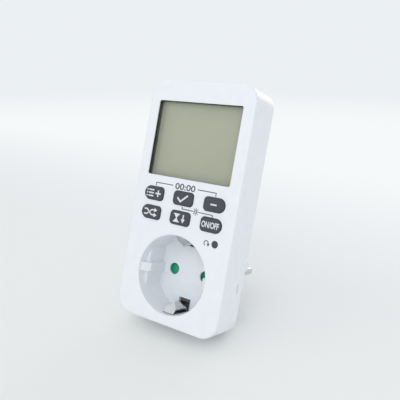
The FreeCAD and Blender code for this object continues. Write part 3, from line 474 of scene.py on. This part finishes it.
# Smoothing capacitors: dark sleeves shrunk over drawn aluminium cans, with a pale stripe down the side
# of the minus lead. The front end of the can stays bare.
low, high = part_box("smoothing_capacitors")
bare_end, stripe_start = 0.45, 3.3
bare_below = low.y + bare_end * mm
stripe_above = (low.x + high.x) / 2 + stripe_start * mm
can_sleeve = new_material("sleeved_aluminium_can", "#23272E", 0.3)
can_tree = can_sleeve.node_tree
can_shader = can_tree.nodes["Principled BSDF"]
can_place = add(can_tree, "ShaderNodeTexCoord").outputs["Object"]
can_split = add(can_tree, "ShaderNodeSeparateXYZ", {"Vector": can_place})
striped = add(can_tree, "ShaderNodeMath", {0: can_split.outputs["X"], 1: stripe_above},
              operation="GREATER_THAN")
bare = add(can_tree, "ShaderNodeMath", {0: can_split.outputs["Y"], 1: bare_below}, operation="LESS_THAN")
sleeve_colour = add(can_tree, "ShaderNodeMix", {"Factor": striped.outputs[0], mix_a: linear("#23272E"),
                                                mix_b: linear("#C4C7CA")}, data_type="RGBA")
can_colour = add(can_tree, "ShaderNodeMix", {"Factor": bare.outputs[0], mix_a: sleeve_colour.outputs[mixed],
                                             mix_b: linear("#C3C5C6")}, data_type="RGBA")
can_tree.links.new(can_colour.outputs[mixed], can_shader.inputs["Base Color"])
can_tree.links.new(bare.outputs[0], can_shader.inputs["Metallic"])
dress(["smoothing_capacitors"], can_sleeve)

# Film capacitor: a moulded case of yellow polyester, filled with epoxy from below, which stands on the
# power board on its two wire feet.
film_case = grained(new_material("yellow_pbt_case", "#D9B23A", 0.45), 0.25, 0.004, "#D0A830", "#E1BC46")
dress(["film_capacitor"], film_case)

# Resistors and diodes: small rods on tinned leads, dipped in tan lacquer with four painted rings, or
# moulded in black epoxy with one pale ring. Offsets are mm along the rod, half is the rod's half length.
ring_width = 0.5
for name, finish, coat, half, rings in (
        ("resistors", "ringed_tan_lacquer", "#C9A77A", 3.0, [(-1.9, "#6B3A1E"), (-0.8, "#1B1B1D"),
                                                             (0.3, "#D9702A"), (1.6, "#B8963E")]),
        ("diodes", "ringed_black_epoxy", "#1D1E20", 2.5, [(1.4, "#C9CCCE")])):
    low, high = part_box(name)
    ringed = new_material(finish, coat, 0.42)
    ring_tree = ringed.node_tree
    ring_shader = ring_tree.nodes["Principled BSDF"]
    ring_place = add(ring_tree, "ShaderNodeTexCoord").outputs["Object"]
    ring_split = add(ring_tree, "ShaderNodeSeparateXYZ", {"Vector": ring_place})
    offset = add(ring_tree, "ShaderNodeMath", {0: ring_split.outputs["X"], 1: (low.x + high.x) / 2},
                 operation="SUBTRACT")
    along = add(ring_tree, "ShaderNodeMapRange", {"Value": offset.outputs[0], "From Min": -half * mm,
                                                  "From Max": half * mm})
    paint = add(ring_tree, "ShaderNodeValToRGB", {"Fac": along.outputs["Result"]})
    paint.color_ramp.interpolation = "CONSTANT"
    paint.color_ramp.elements.remove(paint.color_ramp.elements[1])
    paint.color_ramp.elements[0].color = linear(coat)
    for start, colour in rings:
        for edge, shade in ((start, colour), (start + ring_width, coat)):
            paint.color_ramp.elements.new((edge + half) / (2 * half)).color = linear(shade)
    distance = add(ring_tree, "ShaderNodeMath", {0: offset.outputs[0]}, operation="ABSOLUTE")
    tinned = add(ring_tree, "ShaderNodeMath", {0: distance.outputs[0], 1: half * mm},
                 operation="GREATER_THAN")
    rod_colour = add(ring_tree, "ShaderNodeMix", {"Factor": tinned.outputs[0], mix_a: paint.outputs["Color"],
                                                  mix_b: linear("#BDBFC0")}, data_type="RGBA")
    ring_tree.links.new(rod_colour.outputs[mixed], ring_shader.inputs["Base Color"])
    ring_tree.links.new(tinned.outputs[0], ring_shader.inputs["Metallic"])
    dress([name], ringed)


# Relay: a moulded blue case over a black base. Inside are the coil of enamelled copper wire, the yoke,
# core and hinged armature of soft iron, nickel plated, and the fixed contact stamped from brass.
relay_blue = grained(new_material("blue_relay_case", "#2E66B5", 0.3, IOR=1.58),
                     0.2, 0.003, "#2A5FAB", "#336DBF")
dress(["relay_case"], relay_blue)
dress(["relay_base"], black_epoxy)
copper_wire = new_material("enamelled_copper_wire", "#9A4A22", 0.3, Metallic=0.8)
coil_tree = copper_wire.node_tree
coil_place = add(coil_tree, "ShaderNodeTexCoord").outputs["Object"]
# The wire is 0.06 mm thick; its turns are drawn 0.4 mm apart so that they show
turns = add(coil_tree, "ShaderNodeTexWave", {"Vector": coil_place, "Scale": banded(0.4)},
            bands_direction="Z")
coil_relief = add(coil_tree, "ShaderNodeBump", {"Height": turns.outputs["Fac"], "Distance": 0.05 * mm})
coil_tree.links.new(coil_relief.outputs["Normal"], coil_tree.nodes["Principled BSDF"].inputs["Normal"])
dress(["relay_coil"], copper_wire)
soft_iron = grained(new_material("nickel_plated_iron", "#A3A5A6", 0.36, Metallic=1.0),
                    0.15, 0.003, "#969899", "#B0B2B3")
dress(["relay_yoke", "relay_armature"], soft_iron)
dress(["relay_fixed_contact"], stamped_brass)


# Stage: the timer leans back on its lower back edge and its plug, so in its own frame the table is
# tilted. The table is matt and pale and ends in the white of the room behind it.
def seen_rays(tree):
    """1 where the background is seen, straight or in metal and glass, and 0 where it lights the object."""
    rays = add(tree, "ShaderNodeLightPath").outputs
    mirrored = add(tree, "ShaderNodeMath", {0: rays["Is Glossy Ray"], 1: rays["Is Transmission Ray"]},
                   operation="MAXIMUM")
    return add(tree, "ShaderNodeMath", {0: rays["Is Camera Ray"], 1: mirrored.outputs[0]},
               operation="MAXIMUM").outputs[0]


lean = Vector((0.0, -0.3057, 0.9521))
table_drop, table_radius = 32.95 * mm, 1.6
table_mesh = bpy.data.meshes.new("table")
sheet = bmesh.new()
tilt = Vector((0, 0, 1)).rotation_difference(lean).to_matrix().to_4x4()
bmesh.ops.create_circle(sheet, cap_ends=True, segments=96, radius=table_radius,
                        matrix=Matrix.Translation(lean * -table_drop) @ tilt)
sheet.to_mesh(table_mesh)
sheet.free()
table = bpy.data.objects.new("table", table_mesh)
bpy.context.scene.collection.objects.link(table)
table_top = bpy.data.materials.new("matt_table_top")
table_top.use_nodes = True
tree = table_top.node_tree
tree.nodes.clear()
place = add(tree, "ShaderNodeTexCoord").outputs["Object"]
split = add(tree, "ShaderNodeSeparateXYZ", {"Vector": place})
# Matt part, a little darker and warmer in front as painted shade. Ranges are metres behind the face, or from
# the origin.
far = add(tree, "ShaderNodeMapRange", {"Value": split.outputs["Y"], "From Min": -0.1, "From Max": 0.2})
front_shade_tone = add(tree, "ShaderNodeMix", {"Factor": far.outputs["Result"], mix_a: linear("#EFF1EE"),
                                   mix_b: linear("#F3F5F5")}, data_type="RGBA")
matt = add(tree, "ShaderNodeBsdfDiffuse", {"Color": front_shade_tone.outputs[mixed]})
# White part behind, which takes on the tone of the room towards the rim, so that its far edge is soft
room_tone = linear("#ECF0F2")
reach = add(tree, "ShaderNodeVectorMath", {0: place}, operation="LENGTH")
rim = add(tree, "ShaderNodeMapRange", {"Value": reach.outputs["Value"], "From Min": 0.7, "From Max": 1.5},
          interpolation_type="SMOOTHSTEP")
end_tone = add(tree, "ShaderNodeMix", {"Factor": rim.outputs["Result"], mix_a: linear("#F6F9FA"),
                                       mix_b: room_tone}, data_type="RGBA")
white_end = add(tree, "ShaderNodeEmission", {"Color": end_tone.outputs[mixed], "Strength": 1.0})
fade = add(tree, "ShaderNodeMapRange", {"Value": split.outputs["Y"], "From Min": 0.08, "From Max": 0.4},
           interpolation_type="SMOOTHSTEP")
shown = add(tree, "ShaderNodeMath", {0: fade.outputs["Result"], 1: seen_rays(tree)}, operation="MULTIPLY")
floor_end = add(tree, "ShaderNodeMixShader", {0: shown.outputs[0], 1: matt.outputs[0],
                                              2: white_end.outputs[0]})
# From below the table is clear
clear = add(tree, "ShaderNodeBsdfTransparent")
facing = add(tree, "ShaderNodeNewGeometry")
sides = add(tree, "ShaderNodeMixShader", {0: facing.outputs["Backfacing"], 1: floor_end.outputs[0],
                                          2: clear.outputs[0]})
add(tree, "ShaderNodeOutputMaterial", {"Surface": sides.outputs[0]})
table_mesh.materials.append(table_top)

# Light: an even white room, two large soft lamps in front, and a small one high up behind that puts the
# bright line on the upper right edge. The camera sees none of them. Places and sizes are in metres and
# powers in watts.
room = bpy.data.worlds.new("white_room")
bpy.context.scene.world = room
room.use_nodes = True
tree = room.node_tree
tree.nodes.clear()
even_light = add(tree, "ShaderNodeBackground", {"Color": linear("#FBFCFF"), "Strength": 0.8})
seen_white = add(tree, "ShaderNodeBackground", {"Color": room_tone, "Strength": 1.0})
choice = add(tree, "ShaderNodeMixShader", {0: seen_rays(tree), 1: even_light.outputs[0],
                                           2: seen_white.outputs[0]})
add(tree, "ShaderNodeOutputWorld", {"Surface": choice.outputs[0]})

aim = Vector((0, 0.02, 0.03))
for name, spot, size, power in (("lamp_left", (-0.5, -1.1, 0.7), 1.2, 1.6),
                                ("lamp_right", (0.5, -1.2, 0.4), 0.9, 3.2),
                                ("lamp_back", (0.05, 1.15, 0.8), 0.5, 1.6)):
    light = bpy.data.lights.new(name, "AREA")
    light.size = size
    light.energy = power
    lamp = bpy.data.objects.new(name, light)
    lamp.location = spot
    lamp.visible_camera = False
    lamp.rotation_mode = "QUATERNION"
    lamp.rotation_quaternion = (aim - Vector(spot)).to_track_quat("-Z", "Y")
    bpy.context.scene.collection.objects.link(lamp)

# Camera: to the right of the face and a little above its middle, level with the display. Its place and
# turn are those that fit the measured points of the timer best.
eye = bpy.data.cameras.new("camera")
eye.lens = 44.02
eye.sensor_width = 36.0
eye.clip_start = 0.01
camera = bpy.data.objects.new("camera", eye)
camera_place = Vector((130.5, -198.7, 48.3)) * mm
right, up, ahead = (0.8378, 0.5184, 0.1713), (-0.1668, -0.0557, 0.9844), (-0.5199, 0.8533, -0.0398)
camera_turn = Matrix((right, up, [-v for v in ahead])).transposed().to_4x4()
camera.matrix_world = Matrix.Translation(camera_place) @ camera_turn
bpy.context.scene.collection.objects.link(camera)
bpy.context.scene.camera = camera
bpy.context.scene.view_settings.view_transform = "Standard"
